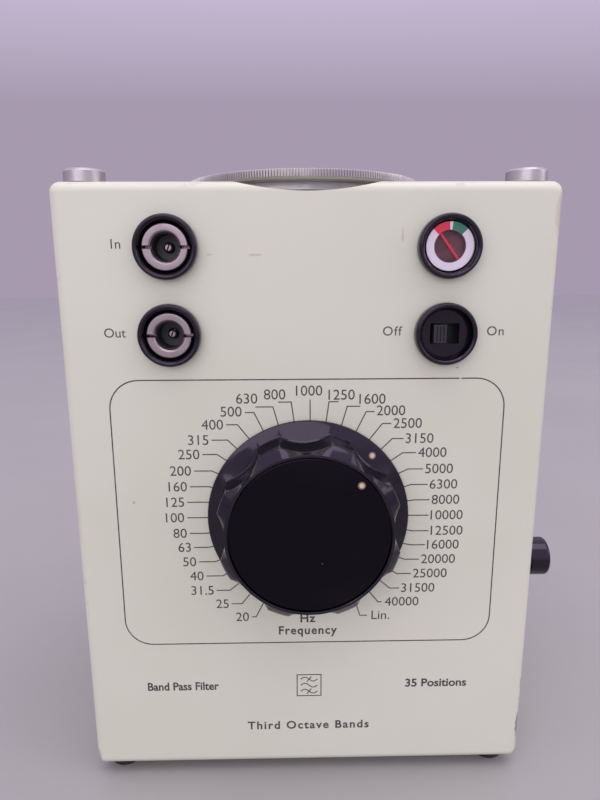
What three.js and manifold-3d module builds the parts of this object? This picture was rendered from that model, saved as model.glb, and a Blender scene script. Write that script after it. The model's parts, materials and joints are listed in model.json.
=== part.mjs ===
// Third-octave filter unit that clamps under a portable sound level meter.
// Millimetres. +Z is up, the front panel faces -Y, and the origin is the centre of the case's underside.

import * as THREE from 'three';
import { mergeVertices } from 'three/addons/utils/BufferGeometryUtils.js';
import Module from 'manifold-3d';

const wasm = await Module();
wasm.setup();

// ---------------------------------------------------------------- driving dimensions

const CASE = { width: 120, depth: 90, height: 157.5, corner: 2.6, edge: 2.4 };
const WALL = { side: 2.5, top: 4, cover: 2.7 };
const FRONT = -CASE.depth / 2;
const BACK = CASE.depth / 2;
const INNER_FRONT = FRONT + WALL.side;
const COVER_FACE = BACK - WALL.cover;   // inner face of the rear cover
const INNER_TOP = CASE.height - WALL.top;

const REST = 0.05;                      // between two faces that rest on each other
const FIT = 0.3;                        // between two pieces that are fastened together

const POST = { x: 53.5, y: 37, radius: 4.9, height: 3.4, chamfer: 0.5 };
const FOOT = { radius: 5.2, height: 3.3, chamfer: 0.6, seatRadius: 5.7, seatDepth: 0.4 };
const STEM = { radius: 1.9, hole: 2.2 };

const SCOOP = { chord: 35, depth: 2.3, back: -26 };
const RING = { outer: 33.9, thread: 30.6, lip: 28.6, bottom: 159.5, top: 161.9, bevel: 0.6, rim: 0.2 };
const RETAINER = { hub: 28.2, flange: 30.2, step: 160.3, top: 161.3, screwCircle: 20 };
const RETAINER_SCREW = { shank: 1.4, head: 3.1, tip: 152, under: 159.9, top: 161.1, slotFloor: 160.5 };

const KNOB = { z: 75, skirt: 25.8, lobe: 22.9, valley: 20.6, rim: 20.7, cap: 19.7, height: 12.8, hollow: 9 };
const LOBES = { count: 8, flat: 13.5, first: 20.3 };
const SHAFT = { radius: 3, front: -53.5, back: -6 };
const BUSHING = { radius: 4.7, flange: 11, thick: 3, nut: 7, front: -47.2, hole: 5 };
const DETENT = { teeth: 40, radius: 9, notch: 0.5, front: -38.9, back: -37.1, strip: 0.5 };
const WAFER = { places: [-33, -25, -17], radius: 16, rotor: 8, sleeve: 4.9, rod: 1.3, rodX: 13 };

const FITTING = { flange: 7.55, stand: 3, neck: 6.1, bore: 5.6, hole: 6.4, back: -40 };
const LIP = FRONT - FITTING.stand;
const IN_SOCKET = { x: -33.2, z: 142.6 };
const OUT_SOCKET = { x: -33.2, z: 122.1 };
const SHELL = { bore: 3.35, outer: 5.45, back: -36, slot: 0.8 };
const CUP = { inner: 3.1, outer: 3.25, front: -46.05, floor: -41, back: -33 };
const CONTACT = { radius: 1.1, front: -42.8, back: -31, slot: 0.36 };
const GAUGE = { x: 33.2, z: 142.6, bore: 5.7, window: 5.6, dial: 5.55, dialHole: 3.75 };
const MOVEMENT = { radius: 5.4, front: -45.2, back: -33, pivot: 0.3 };
const NEEDLE = { y: -45.9, tilt: 37, length: 7.2, width: 0.5, thick: 0.25, hub: 0.55 };
const SWITCH = { x: 33.2, z: 122.1, slotWidth: 7.1, slotHeight: 4.9, floor: -45.2 };
const SLIDER = { offset: 1.4, width: 3.2, height: 4.45, front: -46.7, back: -43.2, stem: 1.6 };

const BUTTON = { y: -30, z: 55.5, radius: 5.35, end: 69.4, skirt: 63.9, stem: 2.3, cup: 4.5, floor: 66.5 };
const COLLAR = { bore: 2.5, sleeve: 4.2, flange: 5.3, hole: 4.4, back: 54, front: 63.6, thick: 1.1 };
const SPRING = { radius: 3.3, wire: 0.25, turns: 2.5 };

const BAY = { halfWidth: 36, bottom: 10, top: 84, pitch: 16, cellRadius: 7.2, cellLength: 49.5 };
const TRAY = { half: 34.5, bottom: 12, top: 71, front: 22, wall: 1.5, cellFoot: 16.6 };
const REAR_SCREW = { x: 52.5, low: 7, high: 149, head: 3, shank: 1.4, clear: 1.8, tip: 34 };
const COVER_SCREW = { z: 78, head: 5, shank: 1.9, clear: 2.2, tip: 38.5 };
const SCREW_HEAD = { under: 43.5, top: 44.9, slotFloor: 44.3, slot: 1, seat: 43.4 };
const BOSS = { size: 10, depth: 32, screwHole: 1.7 };
const SHEET = { front: -5, thick: 1.5, low: 4, high: 150 };
const PILLAR = { x: 44, low: 22, high: 136, radius: 2.2, hole: 2.5, back: 18 };
const BOARD = { places: [1, 7, 13], half: 48, low: 17, high: 141, thick: 1.6, parts: 5, partPitch: 16 };

// ---------------------------------------------------------------- materials

const material = (color, roughness, metalness = 0) =>
  new THREE.MeshStandardMaterial({ color, roughness, metalness });

const PAINT = material(0xd2ccc2, 0.55);
const BLACK_GLOSS = material(0x15131b, 0.18);
const BLACK_PLASTIC = material(0x1b1a1e, 0.5);
const BLACK_RUBBER = material(0x1c1b1c, 0.85);
const SATIN_METAL = material(0xb9b4b0, 0.35, 1);
const BRIGHT_METAL = material(0xd8d4cf, 0.2, 1);
const BRASS = material(0xb79a5b, 0.3, 1);
const STEEL = material(0x8f8e8c, 0.4, 1);
const GLASS = material(0xe8eef0, 0.05);
const WHITE_PRINT = material(0xeceae6, 0.5);
const MAROON = material(0x3a2227, 0.6);
const NEEDLE_RED = material(0xd0202a, 0.4);
const PHENOLIC = material(0x8a5a34, 0.6);
const BOARD_GREEN = material(0x2d5b3a, 0.5);
const CELL_JACKET = material(0x3a4a7a, 0.4);

// ---------------------------------------------------------------- solid helpers

// Turns a closed three.js geometry into a solid whose faces point outwards.
function solid(geometry) {
  const bare = geometry.clone();
  bare.deleteAttribute('normal');
  bare.deleteAttribute('uv');
  const merged = mergeVertices(bare, 1e-4);
  const points = merged.attributes.position;
  const index = Array.from(merged.index.array);
  const corners = [];
  for (let i = 0; i < index.length; i += 3) {
    const [a, b, c] = index.slice(i, i + 3);
    if (a !== b && b !== c && c !== a) corners.push(a, b, c);
  }
  const at = (i) => new THREE.Vector3().fromBufferAttribute(points, i);
  let volume = 0;
  for (let i = 0; i < corners.length; i += 3) {
    volume += at(corners[i]).dot(at(corners[i + 1]).cross(at(corners[i + 2])));
  }
  if (volume < 0) corners.reverse();
  return new wasm.Manifold(new wasm.Mesh({
    numProp: 3,
    vertProperties: new Float32Array(points.array),
    triVerts: new Uint32Array(corners),
  }));
}

function toGeometry(manifold) {
  const mesh = manifold.getMesh();
  const geometry = new THREE.BufferGeometry();
  geometry.setAttribute('position', new THREE.BufferAttribute(mesh.vertProperties.slice(), 3));
  geometry.setIndex(new THREE.BufferAttribute(mesh.triVerts.slice(), 1));
  geometry.computeVertexNormals();
  return geometry;
}

const join = (...parts) => parts.reduce((sum, part) => sum.add(part));
const cut = (body, ...tools) => tools.reduce((rest, tool) => rest.subtract(tool), body);

const object = new THREE.Group();

// Adds one named sub-part to the object.
function add(name, shape, look) {
  const mesh = new THREE.Mesh(toGeometry(shape), look);
  mesh.name = name;
  object.add(mesh);
}

// A box from its low corner to its high corner.
function block([x0, y0, z0], [x1, y1, z1]) {
  const geometry = new THREE.BoxGeometry(x1 - x0, y1 - y0, z1 - z0);
  geometry.translate((x0 + x1) / 2, (y0 + y1) / 2, (z0 + z1) / 2);
  return solid(geometry);
}

// Turned pieces: a profile of [radius, place along the axis] points, closed on the axis or on itself.
function turned(profile, sides = 16) {
  const points = profile.map(([radius, along]) => new THREE.Vector2(radius, along));
  const closed = profile[0][0] > 0 || profile[profile.length - 1][0] > 0;
  if (closed) points.push(points[0].clone());
  return new THREE.LatheGeometry(points, sides);
}

const turnedY = (profile, x, z, sides) => solid(turned(profile, sides).translate(x, 0, z));
const turnedZ = (profile, x, y, sides) => solid(turned(profile, sides).rotateX(Math.PI / 2).translate(x, y, 0));
const turnedX = (profile, y, z, sides) => solid(turned(profile, sides).rotateZ(-Math.PI / 2).translate(0, y, z));

const rod = (radius, from, to) => [[0, from], [radius, from], [radius, to], [0, to]];
const tube = (inner, outer, from, to) => [[inner, from], [outer, from], [outer, to], [inner, to]];

function roundedRectangle(width, height, corner) {
  const [x, y] = [width / 2, height / 2];
  const shape = new THREE.Shape();
  shape.moveTo(-x + corner, -y);
  shape.lineTo(x - corner, -y);
  shape.absarc(x - corner, -y + corner, corner, -Math.PI / 2, 0);
  shape.lineTo(x, y - corner);
  shape.absarc(x - corner, y - corner, corner, 0, Math.PI / 2);
  shape.lineTo(-x + corner, y);
  shape.absarc(-x + corner, y - corner, corner, Math.PI / 2, Math.PI);
  shape.lineTo(-x, -y + corner);
  shape.absarc(-x + corner, -y + corner, corner, Math.PI, Math.PI * 1.5);
  return shape;
}

// An upright slab of the case's outline, from its front to its back along Y, with both rims rounded.
function caseSlab(front, back, edge) {
  const geometry = new THREE.ExtrudeGeometry(roundedRectangle(CASE.width, CASE.height, CASE.corner), {
    depth: back - front - 2 * edge,
    bevelThickness: edge,
    bevelSize: edge,
    bevelOffset: -edge,
    bevelSegments: 2,
    curveSegments: 2,
  });
  geometry.rotateX(Math.PI / 2);
  geometry.translate(0, back - edge, CASE.height / 2);
  return solid(geometry);
}

// ---------------------------------------------------------------- casing

const corners = [[-1, -1], [1, -1], [-1, 1], [1, 1]];

// Thumb scoop: a shallow round groove through the top's front edge that runs back under the clamp ring.
function thumbScoop() {
  const radius = (SCOOP.chord ** 2 / 4 + SCOOP.depth ** 2) / (2 * SCOOP.depth);
  const reach = 1.4 * Math.asin(SCOOP.chord / 2 / radius);
  const shape = new THREE.Shape();
  shape.absarc(0, radius - SCOOP.depth, radius, -Math.PI / 2 - reach, -Math.PI / 2 + reach);
  const geometry = new THREE.ExtrudeGeometry(shape, {
    depth: SCOOP.back - FRONT + 1, bevelEnabled: false, curveSegments: 16,
  });
  geometry.rotateX(Math.PI / 2);
  geometry.translate(0, SCOOP.back, CASE.height);
  return solid(geometry);
}

function frontCasing() {
  const open = 5;
  const outer = caseSlab(FRONT, BACK + open, CASE.edge);
  const halfCavity = CASE.width / 2 - WALL.side;
  const cavity = block([-halfCavity, INNER_FRONT, WALL.side], [halfCavity, BACK + 2 * open, INNER_TOP]);
  const sunk = 0.5;
  const seat = halfCavity + sunk;
  let body = cut(outer, cavity);
  for (const [side, end] of corners) {
    const x0 = side < 0 ? -seat : seat - BOSS.size;
    const z0 = end < 0 ? WALL.side - sunk : INNER_TOP + sunk - BOSS.size;
    body = join(body, block([x0, COVER_FACE - BOSS.depth, z0], [x0 + BOSS.size, BACK, z0 + BOSS.size]));
  }
  const wide = CASE.width;
  body = cut(body, block([-wide, COVER_FACE - FIT, -wide], [wide, BACK + 3 * open, 2 * wide]), thumbScoop());

  const hole = (radius, x, z) => turnedY(rod(radius, FRONT - 1, INNER_FRONT + 1), x, z);
  for (const { x, z } of [IN_SOCKET, OUT_SOCKET, GAUGE, SWITCH]) body = cut(body, hole(FITTING.hole, x, z));
  body = cut(body, hole(BUSHING.hole, 0, KNOB.z));
  body = cut(body, turnedX(rod(COLLAR.hole, halfCavity - 1, CASE.width / 2 + 1), BUTTON.y, BUTTON.z));

  for (const [side, end] of corners) {
    const [x, y] = [side * POST.x, end * POST.y];
    body = cut(body, turnedZ(rod(STEM.hole, INNER_TOP, CASE.height + 1), x, y, 12));
    body = cut(body, turnedZ(rod(STEM.hole, -1, WALL.side), x, y, 12));
    body = cut(body, turnedZ(rod(FOOT.seatRadius, -1, FOOT.seatDepth), x, y, 24));
    const z = end < 0 ? REAR_SCREW.low : REAR_SCREW.high;
    body = cut(body, turnedY(rod(BOSS.screwHole, REAR_SCREW.tip - 1, BACK), side * REAR_SCREW.x, z, 12));
  }
  for (const [x, y] of retainerScrewPlaces()) {
    body = cut(body, turnedZ(rod(BOSS.screwHole, INNER_TOP - 1, CASE.height + 1), x, y, 12));
  }
  add('front_casing', body, PAINT);
}

// The counterbore of a slotted screw's head, open to the back.
const screwSeat = (clear, head) => [
  [0, COVER_FACE - 3], [clear, COVER_FACE - 3], [clear, SCREW_HEAD.seat], [head, SCREW_HEAD.seat],
  [head, BACK + 1], [0, BACK + 1],
];

// The cover's plate, with a locating lip round its inside and a ledge for the battery cover's screw.
function rearCover() {
  let plate = caseSlab(COVER_FACE, BACK, 0.8);
  plate = cut(plate, block([-BAY.halfWidth, COVER_FACE - 1, BAY.bottom], [BAY.halfWidth, BACK + 1, BAY.top]));
  const lip = { play: 0.4, deep: COVER_FACE - 3, thick: 2, halfWidth: 44, low: 15, high: 141 };
  const x = CASE.width / 2 - WALL.side - lip.play;
  const [low, high] = [WALL.side + lip.play, INNER_TOP - lip.play];
  const inside = COVER_FACE + 0.5;
  const ledge = { half: 7, front: 37.5, low: 73.5, high: 90 };
  let cover = join(
    plate,
    block([-lip.halfWidth, lip.deep, low], [lip.halfWidth, inside, low + lip.thick]),
    block([-lip.halfWidth, lip.deep, high - lip.thick], [lip.halfWidth, inside, high]),
    block([-x, lip.deep, lip.low], [-x + lip.thick, inside, lip.high]),
    block([x - lip.thick, lip.deep, lip.low], [x, inside, lip.high]),
    block([-ledge.half, ledge.front, ledge.low], [ledge.half, COVER_FACE - FIT, ledge.high]),
    block([-ledge.half, ledge.front, BAY.top], [ledge.half, inside, ledge.high]),
  );
  cover = cut(cover, turnedY(rod(COVER_SCREW.clear, 30, BACK), 0, COVER_SCREW.z, 16));
  for (const [side, end] of corners) {
    const z = end < 0 ? REAR_SCREW.low : REAR_SCREW.high;
    cover = cut(cover, turnedY(screwSeat(REAR_SCREW.clear, REAR_SCREW.head + 0.4), side * REAR_SCREW.x, z, 12));
  }
  add('rear_cover', cover, PAINT);
}

// A screw along Y whose slotted head faces +Y.
function rearScrew(name, x, z, { head, shank, tip }) {
  const { under, top, slotFloor, slot } = SCREW_HEAD;
  const groove = block([x - head, slotFloor, z - slot / 2], [x + head, BACK + 1, z + slot / 2]);
  const body = turnedY([[0, tip], [shank, tip], [shank, under], [head, under], [head, top], [0, top]], x, z);
  add(name, cut(body, groove), SATIN_METAL);
}

function batteryCover() {
  const gap = 0.4;
  const half = BAY.halfWidth - gap;
  const plate = block([-half, COVER_FACE + 0.1, BAY.bottom + gap], [half, BACK, BAY.top - gap]);
  const grip = block([-8, BACK - 1.2, 14], [8, BACK + 1, 16.5]);
  const seat = turnedY(screwSeat(COVER_SCREW.clear, COVER_SCREW.head + FIT), 0, COVER_SCREW.z, 24);
  const rib = { half: 32, low: 15, high: 68, front: 40.5, thick: 1.5 };
  const frame = cut(
    block([-rib.half, rib.front, rib.low], [rib.half, COVER_FACE + 0.7, rib.high]),
    block([rib.thick - rib.half, rib.front - 1, rib.low + rib.thick],
      [rib.half - rib.thick, COVER_FACE + 0.2, rib.high - rib.thick]),
  );
  add('battery_cover', cut(join(plate, frame), grip, seat), PAINT);
}

function postsAndFeet() {
  const top = CASE.height + REST;
  const footTop = FOOT.seatDepth - REST;
  let number = 1;
  for (const [side, end] of corners) {
    const [x, y] = [side * POST.x, end * POST.y];
    const postTop = CASE.height + POST.height;
    const post = turnedZ([
      [0, INNER_TOP + 0.6], [STEM.radius, INNER_TOP + 0.6], [STEM.radius, top], [POST.radius, top],
      [POST.radius, postTop - POST.chamfer], [POST.radius - POST.chamfer, postTop], [0, postTop],
    ], x, y);
    add(`top_post_${number}`, post, SATIN_METAL);
    const foot = turnedZ([
      [0, -FOOT.height], [FOOT.radius - FOOT.chamfer, -FOOT.height], [FOOT.radius, FOOT.chamfer - FOOT.height],
      [FOOT.radius, footTop], [STEM.radius, footTop], [STEM.radius, WALL.side], [0, WALL.side],
    ], x, y);
    add(`foot_${number}`, foot, BLACK_RUBBER);
    number += 1;
  }
}

// ---------------------------------------------------------------- clamp ring

function retainerScrewPlaces() {
  return [90, 210, 330].map((degrees) => {
    const angle = THREE.MathUtils.degToRad(degrees);
    return [RETAINER.screwCircle * Math.cos(angle), RETAINER.screwCircle * Math.sin(angle)];
  });
}

function clampRing() {
  const { outer, thread, lip, bottom, top, bevel, rim } = RING;
  add('clamp_ring', turnedZ([
    [lip, bottom], [outer - bevel, bottom], [outer, bottom + bevel], [outer, top - rim], [outer - rim, top],
    [thread, top], [thread, bottom + bevel], [lip, bottom + bevel],
  ], 0, 0, 48), SATIN_METAL);

  const underside = CASE.height + REST;
  let retainer = turnedZ([
    [0, underside], [RETAINER.hub, underside], [RETAINER.hub, RETAINER.step], [RETAINER.flange, RETAINER.step],
    [RETAINER.flange, RETAINER.top], [0, RETAINER.top],
  ], 0, 0, 32);
  const { shank, head, tip, under, slotFloor } = RETAINER_SCREW;
  const above = RETAINER.top + 2;
  const seat = [
    [0, tip - 2], [shank + FIT, tip - 2], [shank + FIT, under - 0.1], [head + FIT, under - 0.1],
    [head + FIT, above], [0, above],
  ];
  const pan = [[0, tip], [shank, tip], [shank, under], [head, under], [head, RETAINER_SCREW.top],
    [0, RETAINER_SCREW.top]];
  retainerScrewPlaces().forEach(([x, y], i) => {
    retainer = cut(retainer, turnedZ(seat, x, y, 12));
    const slot = block([x - head - 1, y - 0.4, slotFloor], [x + head + 1, y + 0.4, above]);
    add(`retainer_screw_${i + 1}`, cut(turnedZ(pan, x, y, 12), slot), STEEL);
  });
  add('ring_retainer', retainer, STEEL);
}

// ---------------------------------------------------------------- frequency selector

// How far the lobed wall is scalloped at an angle, from 0 on a lobe to 1 in the middle of a valley.
function scallop(degrees) {
  const pitch = 360 / LOBES.count;
  const fromLobe = Math.abs(((degrees - LOBES.first) % pitch + 1.5 * pitch) % pitch - pitch / 2);
  const fromValley = (pitch / 2 - fromLobe) / (pitch / 2 - LOBES.flat / 2);
  return Math.max(0, 1 - fromValley ** 2);
}

// The knob's outside: a round skirt, a wall with eight lobes, and a shoulder that closes to a round rim.
function knobOutside() {
  const wallFoot = 2.4;
  const wallTop = 10.5;
  const profile = [
    [0, 0.5], [KNOB.skirt, 0.5], [KNOB.skirt, 1.3], [KNOB.lobe + 0.4, wallFoot],
    [KNOB.lobe, wallFoot + 0.4], [KNOB.lobe, wallTop], [KNOB.rim, KNOB.height], [0, KNOB.height],
  ].map(([radius, height]) => [radius, FRONT - height]);
  const geometry = turned(profile, 64);
  const points = geometry.attributes.position;
  for (let i = 0; i < points.count; i += 1) {
    const [x, y, z] = [points.getX(i), points.getY(i), points.getZ(i)];
    const height = FRONT - y;
    if (height > wallFoot + 0.2 && height < wallTop + 0.1) {
      const degrees = THREE.MathUtils.radToDeg(Math.atan2(x, z));
      const scale = 1 - ((KNOB.lobe - KNOB.valley) / KNOB.lobe) * scallop(degrees);
      points.setXYZ(i, x * scale, y, z * scale);
    }
  }
  return solid(geometry.translate(0, 0, KNOB.z));
}

function knob() {
  const capFloor = FRONT - KNOB.height + 1.4;
  const hollow = turnedY(rod(KNOB.hollow, FRONT + 1, FRONT - 4), 0, KNOB.z, 20);
  const bore = turnedY(rod(SHAFT.radius + 0.2, FRONT, SHAFT.front - 0.2), 0, KNOB.z);
  const seat = turnedY(rod(KNOB.cap, capFloor, FRONT - 20), 0, KNOB.z, 40);
  add('knob_body', cut(knobOutside(), hollow, bore, seat), BLACK_GLOSS);
  const face = FRONT - KNOB.height + 0.25;
  const cap = turnedY([
    [0, capFloor - REST], [KNOB.cap - 0.15, capFloor - REST], [KNOB.cap - 0.15, face + 0.2],
    [KNOB.cap - 0.35, face], [0, face],
  ], 0, KNOB.z, 40);
  add('knob_cap', cap, BLACK_GLOSS);
}

function toothedDisc(radius, depth, count, bore, from, to) {
  const shape = new THREE.Shape();
  for (let i = 0; i < count * 2; i += 1) {
    const angle = Math.PI / 2 + (i * Math.PI) / count;
    const reach = i % 2 === 0 ? radius - depth : radius;
    const [x, y] = [reach * Math.cos(angle), reach * Math.sin(angle)];
    if (i === 0) shape.moveTo(x, y);
    else shape.lineTo(x, y);
  }
  shape.holes.push(new THREE.Path().absarc(0, 0, bore, 0, Math.PI * 2));
  const geometry = new THREE.ExtrudeGeometry(shape, { depth: to - from, bevelEnabled: false, curveSegments: 12 });
  return solid(geometry.rotateX(Math.PI / 2).translate(0, to, KNOB.z));
}

function selector() {
  const z = KNOB.z;
  add('selector_shaft', turnedY(rod(SHAFT.radius, SHAFT.front, SHAFT.back), 0, z), STEEL);

  const plate = INNER_FRONT + REST;
  const bore = SHAFT.radius + 0.15;
  const { radius, flange, thick, front } = BUSHING;
  add('selector_bushing', turnedY([
    [bore, front], [radius, front], [radius, plate], [flange, plate], [flange, plate + thick], [bore, plate + thick],
  ], 0, z, 20), BRASS);
  const nut = turnedY(tube(radius + 0.2, BUSHING.nut, FRONT - 2, FRONT - REST), 0, z, 6);
  add('selector_nut', cut(nut, turnedY(rod(radius + 0.25, FRONT - 5, FRONT + 5), 0, z, 20)), BRASS);

  const wheel = [DETENT.teeth, SHAFT.radius + 0.2, DETENT.front, DETENT.back];
  add('detent_wheel', toothedDisc(DETENT.radius, DETENT.notch, ...wheel), BRASS);
  const arm = z + DETENT.radius + 0.5;
  const end = -12;
  const bump = turnedY(rod(0.6, DETENT.front, DETENT.back), 0, arm - 0.25, 12);
  const strip = block([end, DETENT.front, arm], [9, DETENT.back, arm + DETENT.strip]);
  const foot = block([end, plate + thick + REST, arm - 5], [end + 2, DETENT.back, arm + 2]);
  add('detent_spring', join(strip, bump, foot), STEEL);

  const stators = WAFER.places.map((y) => turnedY(tube(WAFER.sleeve + 0.7, WAFER.radius, y, y + 1.2), 0, z, 12));
  const rods = [-1, 1].map((side) => turnedY(rod(WAFER.rod, plate + FIT, -11), side * WAFER.rodX, z, 12));
  add('wafer_stack', join(...stators, ...rods), PHENOLIC);
  const sleeve = turnedY(tube(SHAFT.radius + 0.2, WAFER.sleeve, -35, -12), 0, z);
  const rotors = WAFER.places.map((y) => turnedY(tube(WAFER.sleeve - 0.4, WAFER.rotor, y + 1.6, y + 2.4), 0, z, 12));
  add('rotor_stack', join(sleeve, ...rotors), PHENOLIC);
}

// ---------------------------------------------------------------- front fittings

// The round black bezel that the sockets, the gauge and the switch share.
function bezel({ x, z, bore = FITTING.bore }) {
  const { flange, neck, back } = FITTING;
  return turnedY([
    [bore, back], [neck, back], [neck, FRONT - REST], [flange, FRONT - REST], [flange, LIP + 0.8],
    [flange - 0.3, LIP + 0.2], [flange - 0.7, LIP], [flange - 1.1, LIP + 0.2], [bore, LIP + 1.6],
  ], x, z, 20);
}

// A screened socket: bezel, slotted metal shell, black insulating cup and a split centre contact.
function socket(name, place) {
  const { x, z } = place;
  add(`${name}_bezel`, bezel(place), BLACK_GLOSS);
  const mouth = LIP + 1;
  const chamfer = 0.85;
  const shell = turnedY([
    [SHELL.bore, SHELL.back], [SHELL.outer, SHELL.back], [SHELL.outer, mouth + 0.2], [SHELL.outer - 0.2, mouth],
    [SHELL.bore + chamfer, mouth], [SHELL.bore, mouth + chamfer],
  ], x, z, 20);
  const slots = block([x - 7, mouth - 1, z - SHELL.slot / 2], [x + 7, mouth + 4, z + SHELL.slot / 2]);
  add(`${name}_shell`, cut(shell, slots), BRIGHT_METAL);
  const hole = CONTACT.radius + 0.15;
  add(`${name}_insulator`, turnedY([
    [hole, CUP.back], [CUP.outer, CUP.back], [CUP.outer, CUP.front], [CUP.inner, CUP.front],
    [CUP.inner, CUP.floor], [hole, CUP.floor],
  ], x, z, 16), BLACK_PLASTIC);
  const contact = turnedY(rod(CONTACT.radius, CONTACT.front, CONTACT.back), x, z, 16);
  const half = CONTACT.slot / 2;
  const split = block([x - 2, CONTACT.front - 1, z - half], [x + 2, CONTACT.front + 1.6, z + half]);
  add(`${name}_contact`, cut(contact, split), BRIGHT_METAL);
}

// The battery gauge: a window, a printed ring, and a movement whose needle turns behind the ring.
function gauge() {
  const { x, z } = GAUGE;
  add('gauge_bezel', bezel(GAUGE), BLACK_GLOSS);
  add('gauge_lens', turnedY(rod(GAUGE.window, LIP + 0.8, LIP + 1.2), x, z, 24), GLASS);
  add('gauge_dial', turnedY(tube(GAUGE.dialHole, GAUGE.dial, LIP + 1.5, LIP + 1.8), x, z, 24), WHITE_PRINT);
  const { radius, front, back, pivot } = MOVEMENT;
  add('gauge_movement', turnedY([
    [0, NEEDLE.y + 0.1], [pivot, NEEDLE.y + 0.1], [pivot, front], [radius, front], [radius, back], [0, back],
  ], x, z, 24), MAROON);
  const bar = new THREE.BoxGeometry(NEEDLE.width, NEEDLE.thick, NEEDLE.length);
  bar.rotateY(THREE.MathUtils.degToRad(-NEEDLE.tilt));
  bar.translate(x, NEEDLE.y, z);
  const hub = turnedY(rod(NEEDLE.hub, NEEDLE.y - NEEDLE.thick / 2, NEEDLE.y + 0.3), x, z, 12);
  const hole = turnedY(rod(pivot + 0.1, NEEDLE.y + 0.05, front), x, z, 12);
  add('gauge_needle', cut(join(solid(bar), hub), hole), NEEDLE_RED);
}

// The power switch: a slotted floor in its bezel, a ribbed slider and the switch body behind the panel.
function slideSwitch() {
  const { x, z, slotWidth, slotHeight } = SWITCH;
  const floor = turnedY(rod(FITTING.bore + 0.2, SWITCH.floor, SWITCH.floor + 1.2), x, z, 24);
  const slot = block([x - slotWidth / 2, SWITCH.floor - 1, z - slotHeight / 2],
    [x + slotWidth / 2, SWITCH.floor + 2, z + slotHeight / 2]);
  add('switch_bezel', cut(join(bezel(SWITCH), floor), slot), BLACK_GLOSS);

  const { width, height, front, back, stem } = SLIDER;
  const middle = x - SLIDER.offset;
  const left = middle - width / 2;
  let slider = block([left, front, z - height / 2], [left + width, back, z + height / 2]);
  const grooves = 3;
  const pitch = width / (grooves + 0.25);
  for (let i = 0; i < grooves; i += 1) {
    const groove = left + pitch * (i + 0.4);
    slider = cut(slider, block([groove, front - 1, z - height / 2 + 0.45],
      [groove + pitch / 2, front + 0.5, z + height / 2 - 0.45]));
  }
  const post = block([middle - stem / 2, back - 0.8, z - stem / 2], [middle + stem / 2, FITTING.back, z + stem / 2]);
  add('switch_slider', join(slider, post), BLACK_PLASTIC);
  const bodyFront = FITTING.back + FIT;
  add('switch_body', block([x - 8, bodyFront, z - 5], [x + 8, bodyFront + 8.7, z + 5]), BLACK_PLASTIC);
}

// ---------------------------------------------------------------- side button

class Helix extends THREE.Curve {
  constructor(radius, from, to, turns) {
    super();
    Object.assign(this, { radius, from, to, turns });
  }

  getPoint(t) {
    const angle = t * this.turns * Math.PI * 2;
    const along = this.from + (this.to - this.from) * t;
    return new THREE.Vector3(along, this.radius * Math.cos(angle), this.radius * Math.sin(angle));
  }
}

function sideButton() {
  const { y, z, radius, end, skirt, stem, cup, floor } = BUTTON;
  add('button_cap', turnedX([
    [0, COLLAR.back - 2], [stem, COLLAR.back - 2], [stem, floor], [cup, floor], [cup, skirt], [radius, skirt],
    [radius, end - 1.5], [radius - 0.45, end - 0.45], [radius - 1.5, end], [0, end],
  ], y, z, 20), BLACK_GLOSS);
  const wall = CASE.width / 2 + REST;
  const { bore, sleeve, flange, back, front, thick } = COLLAR;
  add('button_bushing', turnedX([
    [bore, back], [sleeve, back], [sleeve, wall], [flange, wall], [flange, wall + thick], [sleeve, wall + thick],
    [sleeve, front], [bore, front],
  ], y, z), BLACK_PLASTIC);
  const wire = new THREE.Shape().absarc(0, 0, SPRING.wire, 0, Math.PI * 2);
  const gap = SPRING.wire + 0.1;
  const coil = new THREE.ExtrudeGeometry(wire, {
    steps: 24,
    curveSegments: 2,
    bevelEnabled: false,
    extrudePath: new Helix(SPRING.radius, front + gap, floor - gap, SPRING.turns),
  });
  add('button_spring', solid(coil.translate(0, y, z)), STEEL);
}

// ---------------------------------------------------------------- electronics and battery

const along = (count, pitch) => Array.from({ length: count }, (_, i) => (i - (count - 1) / 2) * pitch);

function chassisAndBoards() {
  const half = CASE.width / 2 - WALL.side - FIT;
  const pillarPlaces = [-1, 1].flatMap((side) => [PILLAR.low, PILLAR.high].map((z) => [side * PILLAR.x, z]));
  const { front, thick, low, high } = SHEET;
  const pillars = pillarPlaces.map(([x, z]) => turnedY(rod(PILLAR.radius, front + 1, PILLAR.back), x, z, 8));
  add('chassis_frame', join(block([-half, front, low], [half, front + thick, high]), ...pillars), SATIN_METAL);
  BOARD.places.forEach((y, i) => {
    let board = block([-BOARD.half, y, BOARD.low], [BOARD.half, y + BOARD.thick, BOARD.high]);
    for (const [x, z] of pillarPlaces) board = cut(board, turnedY(rod(PILLAR.hole, y - 1, y + 3), x, z, 8));
    const middle = 100 + 6 * (i - 1);
    for (const x of along(BOARD.parts, BOARD.partPitch)) {
      board = join(board, block([x - 5, y - 3, middle - 8], [x + 5, y + 0.2, middle + 8]));
    }
    add(`filter_board_${i + 1}`, board, BOARD_GREEN);
  });
}

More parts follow.
